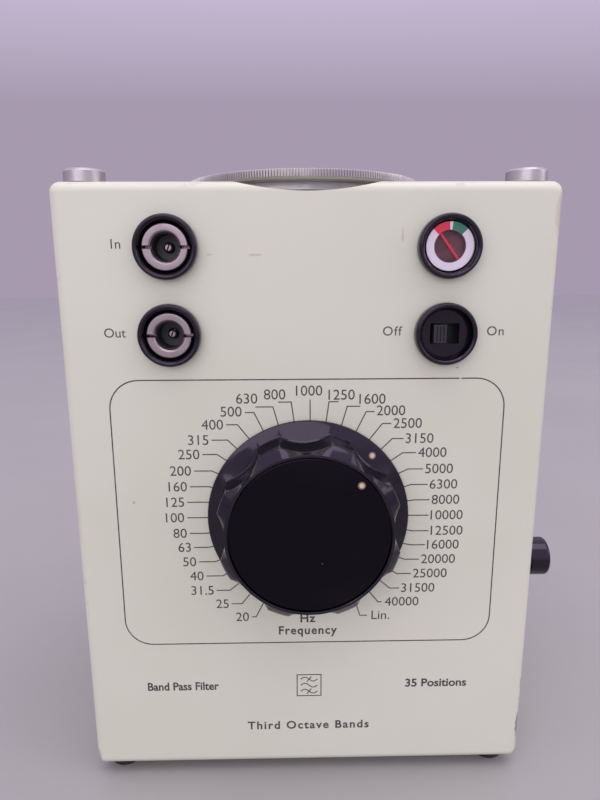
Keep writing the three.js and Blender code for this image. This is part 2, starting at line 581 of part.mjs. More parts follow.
function battery() {
  const { half, bottom, top, front, wall, cellFoot } = TRAY;
  const shell = block([-half, front, bottom], [half, COVER_FACE - FIT, top]);
  const inside = block([wall - half, front + wall, bottom + wall], [half - wall, BACK, top - wall]);
  add('battery_holder', cut(shell, inside), BLACK_PLASTIC);

  const y = front + wall + FIT + BAY.cellRadius;
  const tip = cellFoot + BAY.cellLength;
  const shoulder = tip - 1.2;
  const nipple = 2.7;
  const columns = along(4, BAY.pitch);
  columns.forEach((x, i) => {
    add(`cell_${i + 1}`, turnedZ([
      [0, cellFoot], [BAY.cellRadius, cellFoot], [BAY.cellRadius, shoulder], [nipple, shoulder], [nipple, tip], [0, tip],
    ], x, y), CELL_JACKET);
  });
  const strip = { half: 30, deep: 4, thick: 0.5 };
  const stripAt = (z) => block([-strip.half, y - strip.deep, z], [strip.half, y + strip.deep, z + strip.thick]);
  const upper = columns.map((x) => turnedZ(rod(3, tip + 0.2, tip + 2.5), x, y, 8));
  add('contact_strip_top', join(stripAt(tip + 2.2), ...upper), BRASS);
  const foot = bottom + wall + FIT;
  const lower = columns.map((x) => turnedZ([
    [0, foot + 0.2], [3.4, foot + 0.2], [2.2, cellFoot - 0.2], [0, cellFoot - 0.2],
  ], x, y, 8));
  add('contact_strip_bottom', join(stripAt(foot), ...lower), BRASS);
}

// ---------------------------------------------------------------- assembly

frontCasing();
rearCover();
batteryCover();
rearScrew('battery_cover_screw', 0, COVER_SCREW.z, COVER_SCREW);
corners.forEach(([side, end], i) => {
  const z = end < 0 ? REAR_SCREW.low : REAR_SCREW.high;
  rearScrew(`rear_screw_${i + 1}`, side * REAR_SCREW.x, z, REAR_SCREW);
});
postsAndFeet();
clampRing();
knob();
selector();
socket('in_socket', IN_SOCKET);
socket('out_socket', OUT_SOCKET);
gauge();
slideSwitch();
sideButton();
chassisAndBoards();
battery();

export default object;
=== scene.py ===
import json
import math

import bmesh
import bpy
from mathutils import Matrix, Vector


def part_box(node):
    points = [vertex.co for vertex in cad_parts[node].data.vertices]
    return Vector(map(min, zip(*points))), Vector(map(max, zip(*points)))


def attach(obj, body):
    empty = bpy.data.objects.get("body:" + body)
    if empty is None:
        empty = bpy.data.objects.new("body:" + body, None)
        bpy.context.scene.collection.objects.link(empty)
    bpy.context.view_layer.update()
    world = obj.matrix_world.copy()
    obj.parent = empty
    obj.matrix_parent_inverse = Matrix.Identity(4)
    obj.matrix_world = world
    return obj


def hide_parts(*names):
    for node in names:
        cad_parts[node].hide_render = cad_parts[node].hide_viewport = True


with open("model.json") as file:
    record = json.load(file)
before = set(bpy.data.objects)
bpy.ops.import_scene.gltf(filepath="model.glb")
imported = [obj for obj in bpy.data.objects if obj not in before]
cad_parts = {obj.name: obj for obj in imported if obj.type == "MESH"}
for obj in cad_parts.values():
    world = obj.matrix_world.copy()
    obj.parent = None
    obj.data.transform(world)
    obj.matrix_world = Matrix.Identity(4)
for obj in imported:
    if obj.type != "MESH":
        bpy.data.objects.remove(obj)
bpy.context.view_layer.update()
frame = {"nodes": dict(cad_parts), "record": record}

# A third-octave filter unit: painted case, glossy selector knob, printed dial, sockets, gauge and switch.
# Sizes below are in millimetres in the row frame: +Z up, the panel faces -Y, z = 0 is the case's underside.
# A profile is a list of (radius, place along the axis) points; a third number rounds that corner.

scene = bpy.context.scene
MM = 0.001


def mm_box(node):
    """A CAD node's lowest and highest corner, in millimetres."""
    low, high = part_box(node)
    return low / MM, high / MM


def centre_of(node):
    low, high = mm_box(node)
    return (low + high) / 2


def round_node(node):
    """A round CAD node's lowest and highest corner, centre and radius across X, in millimetres."""
    low, high = mm_box(node)
    return low, high, (low + high) / 2, (high.x - low.x) / 2


CASE_LOW, CASE_HIGH = mm_box("front_casing")
COVER_LOW, COVER_HIGH = mm_box("rear_cover")
FRONT, BACK = CASE_LOW.y, COVER_HIGH.y
HALF_WIDTH, TOP = CASE_HIGH.x, CASE_HIGH.z
SEAM = CASE_HIGH.y
WALL = 2.5
INNER_TOP = TOP - 4
CORNER, EDGE = 2.6, 2.4
REAR_EDGE = 0.8

KNOB = centre_of("selector_shaft")
PANEL = {name: centre_of(name + "_bezel") for name in ("in_socket", "out_socket", "gauge", "switch")}
LIP = mm_box("gauge_bezel")[0].y
BAY = (36.0, 10.0, 84.0)            # half width, bottom and top of the battery bay
PRINT = 0.03                        # how far the printing stands off the panel
FOUR = (1, 2, 3, 4)                 # numbers of the posts, feet, rear screws and cells
SHANK_SEAT, HEAD_UNDER, HEAD_TOP = 43.4, 43.5, 44.9     # places of the back's screws along Y
COVER_SCREW_Z = 78
CLEAR_HOLE = 2.2                    # radius of the holes round the posts' stems and the cover's screw


def linked(name, data):
    """A new object in the scene."""
    made = bpy.data.objects.new(name, data)
    scene.collection.objects.link(made)
    return made


# ---- camera, lights and floor

def add_camera():
    """Level with the top of the case, 145 mm in front of the panel, looking 12 degrees down."""
    pitch, yaw, roll = (math.radians(angle) for angle in (12.30, -1.06, -0.22))
    level = Vector((-math.sin(yaw), math.cos(yaw), 0))
    right = Vector((math.cos(yaw), math.sin(yaw), 0))
    forward = math.cos(pitch) * level - Vector((0, 0, math.sin(pitch)))
    up = Vector((0, 0, math.cos(pitch))) + math.sin(pitch) * level
    right, up = (math.cos(roll) * right + math.sin(roll) * up,
                 math.cos(roll) * up - math.sin(roll) * right)
    camera = linked("camera", bpy.data.cameras.new("camera"))
    camera.data.lens = 27
    camera.data.clip_start = 0.01
    camera.matrix_world = Matrix((right, up, -forward)).transposed().to_4x4()
    camera.location = Vector((-4.7, -190.4, 137.5)) * MM
    scene.camera = camera


def area_light(name, place, aim, size, power, colour):
    light = bpy.data.lights.new(name, "AREA")
    light.shape = "RECTANGLE"
    light.size, light.size_y = size
    light.energy = power
    light.color = colour
    lamp = linked(name, light)
    lamp.location = place
    lamp.rotation_mode = "QUATERNION"
    lamp.rotation_quaternion = (Vector(place) - Vector(aim)).to_track_quat("Z", "Y")


def add_lights():
    middle = (0, 0, 0.08)
    area_light("ceiling", (0.1, -0.35, 1.45), middle, (1.5, 0.9), 8, (1.0, 0.96, 0.98))
    area_light("front_fill", (-0.5, -1.5, 0.75), middle, (1.6, 0.9), 6, (1.0, 0.96, 0.94))
    area_light("side_fill", (1.5, -0.3, 0.7), middle, (0.9, 0.9), 3, (1.0, 0.94, 0.9))


def add_world():
    """A plain studio: dim purple grey behind the object, brighter above and in front of it."""
    world = bpy.data.worlds.new("studio")
    world.use_nodes = True
    tree = world.node_tree
    coords = tree.nodes.new("ShaderNodeTexCoord")
    split = tree.nodes.new("ShaderNodeSeparateXYZ")
    ramp = tree.nodes.new("ShaderNodeValToRGB")
    forward = tree.nodes.new("ShaderNodeMath")
    forward.operation = "MULTIPLY_ADD"
    forward.inputs[1].default_value = -0.25
    tree.links.new(coords.outputs["Generated"], split.inputs[0])
    tree.links.new(split.outputs["Y"], forward.inputs[0])
    tree.links.new(split.outputs["Z"], forward.inputs[2])
    tree.links.new(forward.outputs[0], ramp.inputs["Fac"])
    tree.links.new(ramp.outputs["Color"], tree.nodes["Background"].inputs["Color"])
    stops = ramp.color_ramp.elements
    stops[0].position, stops[0].color = 0.0, (0.386, 0.323, 0.43, 1)
    stops[1].position, stops[1].color = 0.45, (0.92, 0.84, 1.12, 1)
    scene.world = world


def add_floor():
    half = 3.0
    z = mm_box("foot_1")[0].z * MM
    mesh = bpy.data.meshes.new("floor")
    corners = [(-half, -half, z), (half, -half, z), (half, half, z), (-half, half, z)]
    mesh.from_pydata(corners, [], [(0, 1, 2, 3)])
    floor = linked("floor", mesh)
    finish = Finish("floor", (0.34, 0.335, 0.31), 0.6)
    finish.colour(finish.mix(finish.noise(9, 4), (0.32, 0.315, 0.29), (0.365, 0.36, 0.335)))
    mesh.materials.append(finish.material)


# ---- materials

class Finish:
    """A procedural material, with short calls for the nodes that vary it over the surface."""

    def __init__(self, name, colour, roughness, metallic=0.0, **uniform):
        self.material = bpy.data.materials.new(name)
        self.material.use_nodes = True
        self.tree = self.material.node_tree
        self.shader = self.tree.nodes["Principled BSDF"]
        self.place = self.node("TexCoord").outputs["Object"]
        self.shader.inputs["Base Color"].default_value = (*colour, 1)
        self.shader.inputs["Roughness"].default_value = roughness
        self.shader.inputs["Metallic"].default_value = metallic
        for socket, value in uniform.items():
            self.shader.inputs[socket.replace("_", " ")].default_value = value

    def node(self, kind, inputs=None, **settings):
        made = self.tree.nodes.new("ShaderNode" + kind)
        for key, value in settings.items():
            setattr(made, key, value)
        for key, value in (inputs or {}).items():
            if isinstance(value, bpy.types.NodeSocket):
                self.tree.links.new(value, made.inputs[key])
            else:
                made.inputs[key].default_value = value
        return made

    def math(self, operation, first, second=0.0):
        return self.node("Math", {0: first, 1: second}, operation=operation).outputs[0]

    def times(self, first, second):
        return self.math("MULTIPLY", first, second)

    def noise(self, scale, detail=2.0, place=None, roughness=0.5):
        inputs = {"Vector": place or self.place, "Scale": scale, "Detail": detail, "Roughness": roughness}
        return self.node("TexNoise", inputs).outputs[0]

    def stretched(self, x, y, z):
        inputs = {0: self.place, 1: (x, y, z)}
        return self.node("VectorMath", inputs, operation="MULTIPLY").outputs[0]

    def ramp(self, value, low, high, start=0.0, end=1.0):
        inputs = {"Value": value, "From Min": low, "From Max": high, "To Min": start, "To Max": end}
        return self.node("MapRange", inputs, interpolation_type="SMOOTHSTEP").outputs[0]

    def mix(self, factor, first, second):
        made = self.node("Mix", data_type="RGBA")
        for index, value in ((0, factor), (6, first), (7, second)):
            if isinstance(value, bpy.types.NodeSocket):
                self.tree.links.new(value, made.inputs[index])
            else:
                made.inputs[index].default_value = (*value, 1) if index else value
        return made.outputs[2]

    def axes(self):
        return self.node("SeparateXYZ", {0: self.place}).outputs

    def colour(self, socket):
        self.tree.links.new(socket, self.shader.inputs["Base Color"])

    def roughness(self, socket):
        self.tree.links.new(socket, self.shader.inputs["Roughness"])

    def bump(self, height, depth, strength=1.0):
        inputs = {"Height": height, "Distance": depth * MM, "Strength": strength}
        self.tree.links.new(self.node("Bump", inputs).outputs[0], self.shader.inputs["Normal"])

    def spot(self, centre, half):
        """1 inside a ragged ellipsoid of these half sizes (mm), 0 outside."""
        inputs = {0: self.place, 1: Vector(centre) * MM}
        offset = self.node("VectorMath", inputs, operation="SUBTRACT").outputs[0]
        inputs = {0: offset, 1: tuple(1 / (size * MM) for size in half)}
        scaled = self.node("VectorMath", inputs, operation="MULTIPLY").outputs[0]
        distance = self.node("VectorMath", {0: scaled}, operation="LENGTH").outputs["Value"]
        wobble = self.math("SUBTRACT", self.noise(900, 3), 0.5)
        return self.ramp(self.math("ADD", distance, wobble), 1.15, 0.6)

    def specks(self, scale, chosen, edge):
        """0.55 on scattered round specks; chosen and edge are the limits that pick and soften them."""
        cells = self.node("TexVoronoi", {"Vector": self.place, "Scale": scale})
        random = self.node("SeparateColor", {0: cells.outputs["Color"]}).outputs[0]
        speck = self.times(self.ramp(random, *chosen), self.ramp(cells.outputs["Distance"], *edge))
        return self.times(speck, 0.55)

    def rings(self, pitch):
        """Turning marks round the piece's own axis (its local Z)."""
        x, y, _ = self.axes()
        radius = self.math("SQRT", self.math("ADD", self.times(x, x), self.times(y, y)))
        wave = self.math("SINE", self.times(radius, 2 * math.pi / (pitch * MM)))
        return self.math("ADD", wave, self.times(self.noise(2500, 2), 1.5))


def case_edges(finish):
    """How close a point is to one of the case's edges: 0 on the faces, 1 on the rounding."""
    x, y, z = finish.axes()
    middle = TOP / 2 * MM
    sides = ((x, HALF_WIDTH * MM), (y, BACK * MM), (finish.math("SUBTRACT", z, middle), middle))
    inside = [finish.math("SUBTRACT", finish.math("ABSOLUTE", along), half) for along, half in sides]
    pairs = [finish.math("MINIMUM", inside[i], inside[(i + 1) % 3]) for i in range(3)]
    nearest = finish.math("MAXIMUM", pairs[0], finish.math("MAXIMUM", pairs[1], pairs[2]))
    return finish.ramp(nearest, -1.9 * MM, -0.6 * MM)


def paint():
    """Pale stove enamel with a faint orange peel, worn and yellowed on its edges, with a few old marks and
    one patch of painted shade low on the left front corner.
    """
    finish = Finish("enamel_paint", (0.65, 0.66, 0.52), 0.42, Coat_Weight=0.15, Coat_Roughness=0.25)
    cloud = finish.ramp(finish.noise(14, 3), 0.3, 0.7)
    body = finish.mix(cloud, (0.635, 0.645, 0.500), (0.675, 0.685, 0.545))
    edges = case_edges(finish)
    worn = finish.times(edges, finish.ramp(finish.noise(260, 5, roughness=0.65), 0.58, 0.66))
    yellowed = finish.times(edges, finish.ramp(finish.noise(45, 2), 0.45, 0.75, 0, 0.35))
    look = finish.mix(yellowed, body, (0.52, 0.45, 0.30))
    look = finish.mix(finish.times(worn, 0.3), look, (0.33, 0.31, 0.27))
    for centre, half, colour, strength in MARKS:
        mask = finish.times(finish.spot(centre, half), strength)
        look = finish.mix(mask, look, colour)
    finish.colour(finish.mix(finish.specks(70.0, (0.86, 0.88), (0.035, 0.02)), look, (0.22, 0.20, 0.17)))
    finish.roughness(finish.ramp(finish.noise(120, 4), 0.3, 0.7, 0.36, 0.48))
    finish.bump(finish.noise(1500, 3), 0.012, 0.5)
    return finish.material


MARKS = [
    ((22.3, -45, 145.2), (0.3, 3, 1.7), (0.33, 0.28, 0.22), 0.4),
    ((-12.4, -45, 140.8), (1.9, 3, 0.35), (0.38, 0.33, 0.25), 0.45),
    ((-23.2, -45, 140.9), (0.9, 3, 0.3), (0.42, 0.42, 0.28), 0.5),
    ((36.8, -45, 113.7), (0.25, 3, 0.25), (0.20, 0.17, 0.15), 0.8),
    ((59.0, -44, 150.0), (1.2, 2.5, 5.0), (0.50, 0.43, 0.28), 0.5),
    ((59.6, -44.3, 11.0), (1.1, 1.4, 4.5), (0.20, 0.19, 0.18), 0.85),
    ((59.8, -44.4, 24.0), (0.6, 1.0, 2.2), (0.24, 0.22, 0.20), 0.7),
    # painted shade: a darker patch low on the left front corner, next to the floor, not a mark on the paint
    ((-59.5, -44.2, 3.0), (1.2, 1.5, 2.0), (0.30, 0.27, 0.23), 0.6),
]


def gloss(name, roughness, dusty, level=0.5):
    """Polished black moulding; the larger ones carry fine scratches and specks of dust."""
    # The purple cast of this black and the purple specular tint are painted reflection colour: they stand in
    # for the purple light mirrored in the gloss.
    black = (0.003, 0.0026, 0.004)
    finish = Finish(name, black, roughness, Specular_IOR_Level=level, Specular_Tint=(0.9, 0.78, 1.0, 1))
    smear = finish.noise(55, 4)
    finish.roughness(finish.ramp(smear, 0.35, 0.75, roughness, roughness + 0.08))
    if dusty:
        dust = finish.specks(330.0, (0.90, 0.91), (0.055, 0.03))
        haze = finish.ramp(finish.noise(38, 3), 0.45, 0.8, 0.0, 0.03)
        look = finish.mix(haze, black, (0.10, 0.09, 0.12))
        finish.colour(finish.mix(dust, look, (0.34, 0.32, 0.36)))
        scratch = finish.noise(40, 2, finish.stretched(60, 1, 6))
        finish.bump(finish.ramp(scratch, 0.62, 0.66), 0.002, 0.25)
    else:
        finish.bump(finish.noise(1800, 2), 0.003, 0.3)
    return finish.material


def satin_black():
    finish = Finish("satin_black", (0.017, 0.016, 0.019), 0.42)
    finish.colour(finish.mix(finish.noise(300, 3), (0.012, 0.011, 0.014), (0.024, 0.023, 0.027)))
    finish.bump(finish.noise(2600, 3), 0.01, 0.5)
    return finish.material


def rubber():
    finish = Finish("rubber", (0.022, 0.021, 0.021), 0.8)
    dust = finish.ramp(finish.noise(180, 4), 0.4, 0.75)
    finish.colour(finish.mix(dust, (0.018, 0.017, 0.017), (0.06, 0.057, 0.054)))
    finish.bump(finish.noise(1800, 5), 0.03, 0.7)
    return finish.material


def metal(name, colour, roughness, ring_pitch=None, grain=(1, 1, 1)):
    """Turned metal has rings round its axis; other metal has a drawn or plated grain along one direction."""
    finish = Finish(name, colour, roughness, metallic=1.0)
    tarnish = finish.ramp(finish.noise(90, 4), 0.4, 0.8, 0.0, 0.35)
    finish.colour(finish.mix(tarnish, colour, tuple(0.62 * channel for channel in colour)))
    finish.roughness(finish.ramp(finish.noise(420, 3, finish.stretched(*grain)), 0.3, 0.7,
                                 roughness - 0.06, roughness + 0.1))
    if ring_pitch:
        finish.bump(finish.rings(ring_pitch), 0.0025, 0.5)
    else:
        finish.bump(finish.noise(1600, 3, finish.stretched(*grain)), 0.004, 0.4)
    return finish.material


def glass():
    finish = Finish("lens_glass", (1, 1, 1), 0.03, Transmission_Weight=1.0, IOR=1.45, Alpha=0.4)
    finish.roughness(finish.ramp(finish.noise(260, 3), 0.5, 0.9, 0.02, 0.12))
    return finish.material


def printed(name, colour, depth):
    """Screen-printing ink: a little uneven in tone."""
    finish = Finish(name, colour, 0.5)
    faded = tuple(channel + depth * (0.6 - channel) for channel in colour)
    finish.colour(finish.mix(finish.ramp(finish.noise(700, 4), 0.35, 0.75), colour, faded))
    finish.bump(finish.noise(3000, 2), 0.004, 0.3)
    return finish.material


def movement_maroon():
    finish = Finish("movement_maroon", (0.045, 0.012, 0.02), 0.55)
    swirl = finish.ramp(finish.noise(420, 3), 0.4, 0.65)
    glint = finish.ramp(finish.noise(1100, 2), 0.62, 0.7)
    look = finish.mix(swirl, (0.09, 0.026, 0.036), (0.17, 0.04, 0.058))
    finish.colour(finish.mix(finish.times(glint, 0.5), look, (0.16, 0.10, 0.10)))
    finish.bump(finish.noise(1500, 2), 0.02, 0.5)
    return finish.material


def phenolic():
    finish = Finish("phenolic", (0.25, 0.11, 0.045), 0.55)
    streak = finish.noise(220, 5, finish.stretched(1, 1, 7))
    finish.colour(finish.mix(streak, (0.16, 0.065, 0.025), (0.34, 0.16, 0.07)))
    finish.bump(streak, 0.02, 0.5)
    return finish.material


def board():
    """Lacquered circuit board with pale copper runs under the green."""
    finish = Finish("board", (0.03, 0.10, 0.045), 0.35)
    inputs = {"Vector": finish.stretched(1, 0, 1), "Scale": 160.0, "Mortar Size": 0.02}
    runs = finish.node("TexBrick", inputs).outputs["Fac"]
    finish.colour(finish.mix(runs, (0.018, 0.075, 0.032), (0.07, 0.17, 0.065)))
    finish.bump(runs, 0.03, 0.6)
    return finish.material


def cell_jacket():
    """Cell sleeve: a dark blue wrapper with a plain gold band at its upper end."""
    finish = Finish("cell_jacket", (0.02, 0.03, 0.12), 0.3)
    height = finish.axes()[2]
    band = finish.ramp(height, 8 * MM, 8.1 * MM)
    scuffed = finish.ramp(finish.noise(300, 4), 0.55, 0.8, 0.0, 0.4)
    look = finish.mix(band, (0.018, 0.028, 0.115), (0.50, 0.32, 0.09))
    finish.colour(finish.mix(scuffed, look, (0.20, 0.20, 0.24)))
    finish.bump(finish.noise(900, 3), 0.01, 0.4)
    return finish.material


ALUMINIUM = (0.50, 0.465, 0.46)
LOOKS = {
    "paint": paint(),
    "knob_plastic": gloss("knob_gloss", 0.07, True),
    "bezel_plastic": gloss("bezel_gloss", 0.10, False),
    "matte_black": satin_black(),
    "rubber": rubber(),
    "turned_aluminium": metal("turned_aluminium", ALUMINIUM, 0.38, ring_pitch=0.11),
    "plated_metal": metal("plated_metal", (0.38, 0.315, 0.33), 0.36),
    "steel": metal("steel", (0.42, 0.41, 0.40), 0.34, grain=(1, 1, 9)),
    "brass": metal("brass", (0.60, 0.42, 0.16), 0.28, grain=(1, 9, 1)),
    "lens_glass": glass(),
    "dial_white": printed("dial_white", (0.86, 0.78, 0.86), 0.05),
    "movement_maroon": movement_maroon(),
    "needle_red": printed("needle_red", (0.80, 0.008, 0.045), 0.01),
    "phenolic": phenolic(),
    "board": board(),
    "cell_jacket": cell_jacket(),
}
INK = printed("panel_ink", (0.045, 0.038, 0.040), 0.10)
CAP_GLOSS = gloss("cap_gloss", 0.06, True, 0.12)
GREEN_PRINT = printed("green_print", (0.012, 0.20, 0.11), 0.02)
IVORY = printed("ivory_inlay", (0.62, 0.50, 0.36), 0.10)
TAN = printed("tan_rim", (0.20, 0.11, 0.06), 0.05)


# ---- mesh helpers

def rounded(profile, steps=5):
    """Replaces each corner that has a rounding by a short curve."""
    points = []
    last = len(profile) - 1
    for i, corner in enumerate(profile):
        here = Vector(corner[:2])
        if len(corner) < 3:
            points.append(here)
            continue
        before = Vector(profile[i - 1 if i else last][:2])
        after = Vector(profile[i + 1 if i < last else 0][:2])
        start, end = (here + (to - here).normalized() * min(corner[2], (to - here).length / 2)
                      for to in (before, after))
        for k in range(steps + 1):
            t = k / steps
            points.append((1 - t) ** 2 * start + 2 * t * (1 - t) * here + t ** 2 * end)
    return points


def revolve(points, sides, reach=None):
    """Vertices and faces of a profile turned about local Z; reach(radius, angle, index) varies the radius."""
    verts, rows = [], []
    for index, (radius, along) in enumerate(points):
        if radius < 1e-6:
            rows.append([len(verts)] * sides)
            verts.append((0, 0, along * MM))
            continue
        rows.append(list(range(len(verts), len(verts) + sides)))
        for side in range(sides):
            angle = 2 * math.pi * side / sides
            here = reach(radius, angle, index) if reach else radius
            verts.append((here * math.cos(angle) * MM, here * math.sin(angle) * MM, along * MM))
    closed = points[0][0] > 1e-6
    pairs = list(zip(rows, rows[1:])) + ([(rows[-1], rows[0])] if closed else [])
    faces = []
    for lower, upper in pairs:
        for side in range(sides):
            after = (side + 1) % sides
            face = list(dict.fromkeys((lower[side], lower[after], upper[after], upper[side])))
            if len(face) > 2:
                faces.append(face)
    return verts, faces


AXES = {
    "X": Matrix(((0, 0, 1), (0, 1, 0), (-1, 0, 0))).to_4x4(),
    "Y": Matrix(((1, 0, 0), (0, 0, 1), (0, -1, 0))).to_4x4(),
    "-Y": Matrix(((1, 0, 0), (0, 0, -1), (0, 1, 0))).to_4x4(),
    "Z": Matrix.Identity(4),
}


def shape(name, verts, faces, centre=(0, 0, 0), axis="Z"):
    """A mesh object whose local Z lies along axis, at centre (mm)."""
    mesh = bpy.data.meshes.new(name)
    mesh.from_pydata([tuple(v) for v in verts], [], faces)
    body = bmesh.new()
    body.from_mesh(mesh)
    bmesh.ops.recalc_face_normals(body, faces=body.faces)
    body.to_mesh(mesh)
    body.free()
    made = linked(name, mesh)
    made.matrix_world = Matrix.Translation(Vector(centre) * MM) @ AXES[axis]
    return made


def turned(name, profile, centre, axis, sides=96):
    return shape(name, *revolve(rounded(profile), sides), centre, axis)


def from_bmesh(name, body):
    mesh = bpy.data.meshes.new(name)
    body.to_mesh(mesh)
    body.free()
    return linked(name, mesh)


def block(name, low, high, bevel=0.0):
    """A box from its low to its high corner (mm), with an even bevel."""
    body = bmesh.new()
    bmesh.ops.create_cube(body, size=1)
    size = Vector(high) - Vector(low)
    bmesh.ops.scale(body, vec=size * MM, verts=body.verts)
    if bevel:
        bmesh.ops.bevel(body, geom=body.edges[:] + body.verts[:], offset=bevel * MM, segments=4,
                        profile=0.5, affect="EDGES")
    made = from_bmesh(name, body)
    made.location = (Vector(low) + Vector(high)) / 2 * MM
    return made


def at_origin(piece):
    """Moves the piece's place into its mesh."""
    piece.data.transform(Matrix.Translation(piece.location))
    piece.location = (0, 0, 0)
    return piece


def tilt(piece, centre, degrees):
    """Turns a piece about the Y axis, then carries it to centre (mm)."""
    turn = Matrix.Rotation(math.radians(degrees), 4, "Y")
    piece.matrix_world = Matrix.Translation(Vector(centre) * MM) @ turn @ Matrix.Translation(piece.location)


def strip_faces(steps):
    """Faces of a closed strip of steps + 1 cross-sections that have four corners each."""
    faces = []
    for a in range(0, 4 * steps, 4):
        b = a + 4
        faces += [
            (a, a + 2, b + 2, b), (a + 1, b + 1, b + 3, a + 3),
            (a, b, b + 1, a + 1), (a + 2, a + 3, b + 3, b + 2),
        ]
    last = 4 * steps
    return faces + [(0, 1, 3, 2), (last, last + 2, last + 3, last + 1)]


def evaluated(piece):
    """The piece's mesh with its modifiers applied."""
    bpy.context.view_layer.update()
    graph = bpy.context.evaluated_depsgraph_get()
    return bpy.data.meshes.new_from_object(piece.evaluated_get(graph))


def settle(piece):
    mesh = evaluated(piece)
    piece.modifiers.clear()
    piece.data = mesh
    mesh.name = piece.name


def combine(piece, operation, others):
    for other in others:
        modifier = piece.modifiers.new(operation, "BOOLEAN")
        modifier.operation = operation
        modifier.solver = "EXACT"
        modifier.object = other
        settle(piece)
        bpy.data.objects.remove(other)
    return piece


def cut(piece, *cutters):
    return combine(piece, "DIFFERENCE", cutters)


def join(piece, *others):
    return combine(piece, "UNION", others)


def rod(radius, start, end):
    return [(0, start), (radius, start), (radius, end), (0, end)]


def tube(inner, outer, start, end, edge=0.1):
    return [(inner, start, edge), (outer, start, edge), (outer, end, edge), (inner, end, edge)]


def dress(piece, body, look, stands_for=(), crease=32):
    """Smooth shading with crisp edges, the material, and the CAD body and nodes."""
    mesh = piece.data
    mesh.materials.clear()
    mesh.materials.append(LOOKS[look] if isinstance(look, str) else look)
    mesh.shade_smooth()
    mesh.set_sharp_from_angle(angle=math.radians(crease))
    weighted = piece.modifiers.new("even_shading", "WEIGHTED_NORMAL")
    weighted.keep_sharp = True
    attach(piece, body)
    if stands_for:
        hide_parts(*stands_for)
    return piece


# ---- casing

def outline(half_width, low, high, corner, steps=8):
    """Points of an upright rounded rectangle, in mm."""
    points = []
    centres = ((1, 1), (-1, 1), (-1, -1), (1, -1))
    for quarter, (side, end) in enumerate(centres):
        x = side * (half_width - corner)
        z = high - corner if end > 0 else low + corner
        for k in range(steps + 1):
            angle = math.pi / 2 * (quarter + k / steps)
            points.append((x + corner * math.cos(angle), z + corner * math.sin(angle)))
    return points


def slab(name, front, back, front_edge, back_edge):
    """The case's rounded outline from front to back along Y, each rim with its own rounding."""
    layers = []
    for start, edge, sign in ((front, front_edge, 1), (back, back_edge, -1)):
        rim = []
        steps = 8 if edge else 0
        for k in range(steps + 1):
            angle = math.pi / 2 * k / steps if steps else math.pi / 2
            rim.append((start + sign * edge * (1 - math.cos(angle)), edge * (1 - math.sin(angle))))
        layers += rim if sign > 0 else rim[::-1]
    verts, faces = [], []
    for y, shrink in layers:
        ring = outline(HALF_WIDTH - shrink, shrink, TOP - shrink, max(CORNER - shrink, 0.15))
        verts += [Vector((x, y, z)) * MM for x, z in ring]
    count = len(verts) // len(layers)
    for layer in range(len(layers) - 1):
        for k in range(count):
            after = (k + 1) % count
            base = layer * count
            faces.append((base + k, base + after, base + count + after, base + count + k))
    faces.append(tuple(range(count))[::-1])
    faces.append(tuple(range(len(verts) - count, len(verts))))
    return shape(name, verts, faces)


def add_casing():
    casing = slab("casing", FRONT, SEAM, EDGE, 0)
    inner = block("inside", (WALL - HALF_WIDTH, FRONT + WALL, WALL), (HALF_WIDTH - WALL, SEAM + 5, INNER_TOP))
    holes = [inner]
    for place in PANEL.values():
        holes.append(turned("hole", rod(6.4, FRONT - 1, FRONT + 4), (place.x, 0, place.z), "Y", 64))
    holes.append(turned("hole", rod(5, FRONT - 1, FRONT + 4), (0, 0, KNOB.z), "Y", 64))
    button = centre_of("button_cap")
    holes.append(turned("hole", rod(4.4, HALF_WIDTH - 4, HALF_WIDTH + 1), (0, button.y, button.z), "X", 64))
    for number in FOUR:
        foot = centre_of(f"foot_{number}")
        holes.append(turned("hole", rod(5.7, -1, 0.4), (foot.x, foot.y, 0), "Z", 64))
        post = centre_of(f"top_post_{number}")
        holes.append(turned("hole", rod(CLEAR_HOLE, INNER_TOP - 1, TOP + 1), (post.x, post.y, 0), "Z", 32))
    holes.append(thumb_scoop())
    dress(cut(casing, *holes), "case", "paint", stands_for=["front_casing"])


def thumb_scoop():
    """A shallow round groove through the top's front edge that runs back under the clamp ring."""
    chord, depth, back = 35, 2.3, -26
    radius = (chord ** 2 / 4 + depth ** 2) / (2 * depth)
    return turned("scoop", rod(radius, FRONT - 1, back), (0, 0, TOP - depth + radius), "Y", 256)


def add_rear_cover():
    half, bottom, top = BAY
    cover = slab("back_panel", COVER_HIGH.y - 2.7, BACK, 0.15, REAR_EDGE)
    holes = [block("bay", (-half, BACK - 5, bottom), (half, BACK + 5, top))]
    for number in FOUR:
        place = centre_of(f"rear_screw_{number}")
        seat = [
            (0, 40), (1.8, 40), (1.8, SHANK_SEAT), (3.4, SHANK_SEAT), (3.4, BACK - 0.25), (3.7, 46), (0, 46),
        ]
        holes.append(turned("seat", seat, (place.x, 0, place.z), "Y", 48))
    cut(cover, *holes)
    lip = 39.3                       # how far the bars behind the cover reach into the case
    inner = HALF_WIDTH - WALL - 0.4
    bars = [block("bar", (-44, lip, low), (44, 42.5, low + 2)) for low in (WALL + 0.4, INNER_TOP - 2.4)]
    bars += [block("bar", (left, lip, 15), (left + 2, 42.5, 141)) for left in (-inner, inner - 2)]
    ledge = block("ledge", (-7, 37.5, 73.5), (7, 42.0, 90))
    web = block("web", (-7, 37.5, top), (7, 42.6, 90))
    join(cover, *bars, join(ledge, web))
    cut(cover, turned("bore", rod(CLEAR_HOLE, 30, BACK), (0, 0, COVER_SCREW_Z), "Y", 48))
    dress(cover, "case", "paint", stands_for=["rear_cover"])


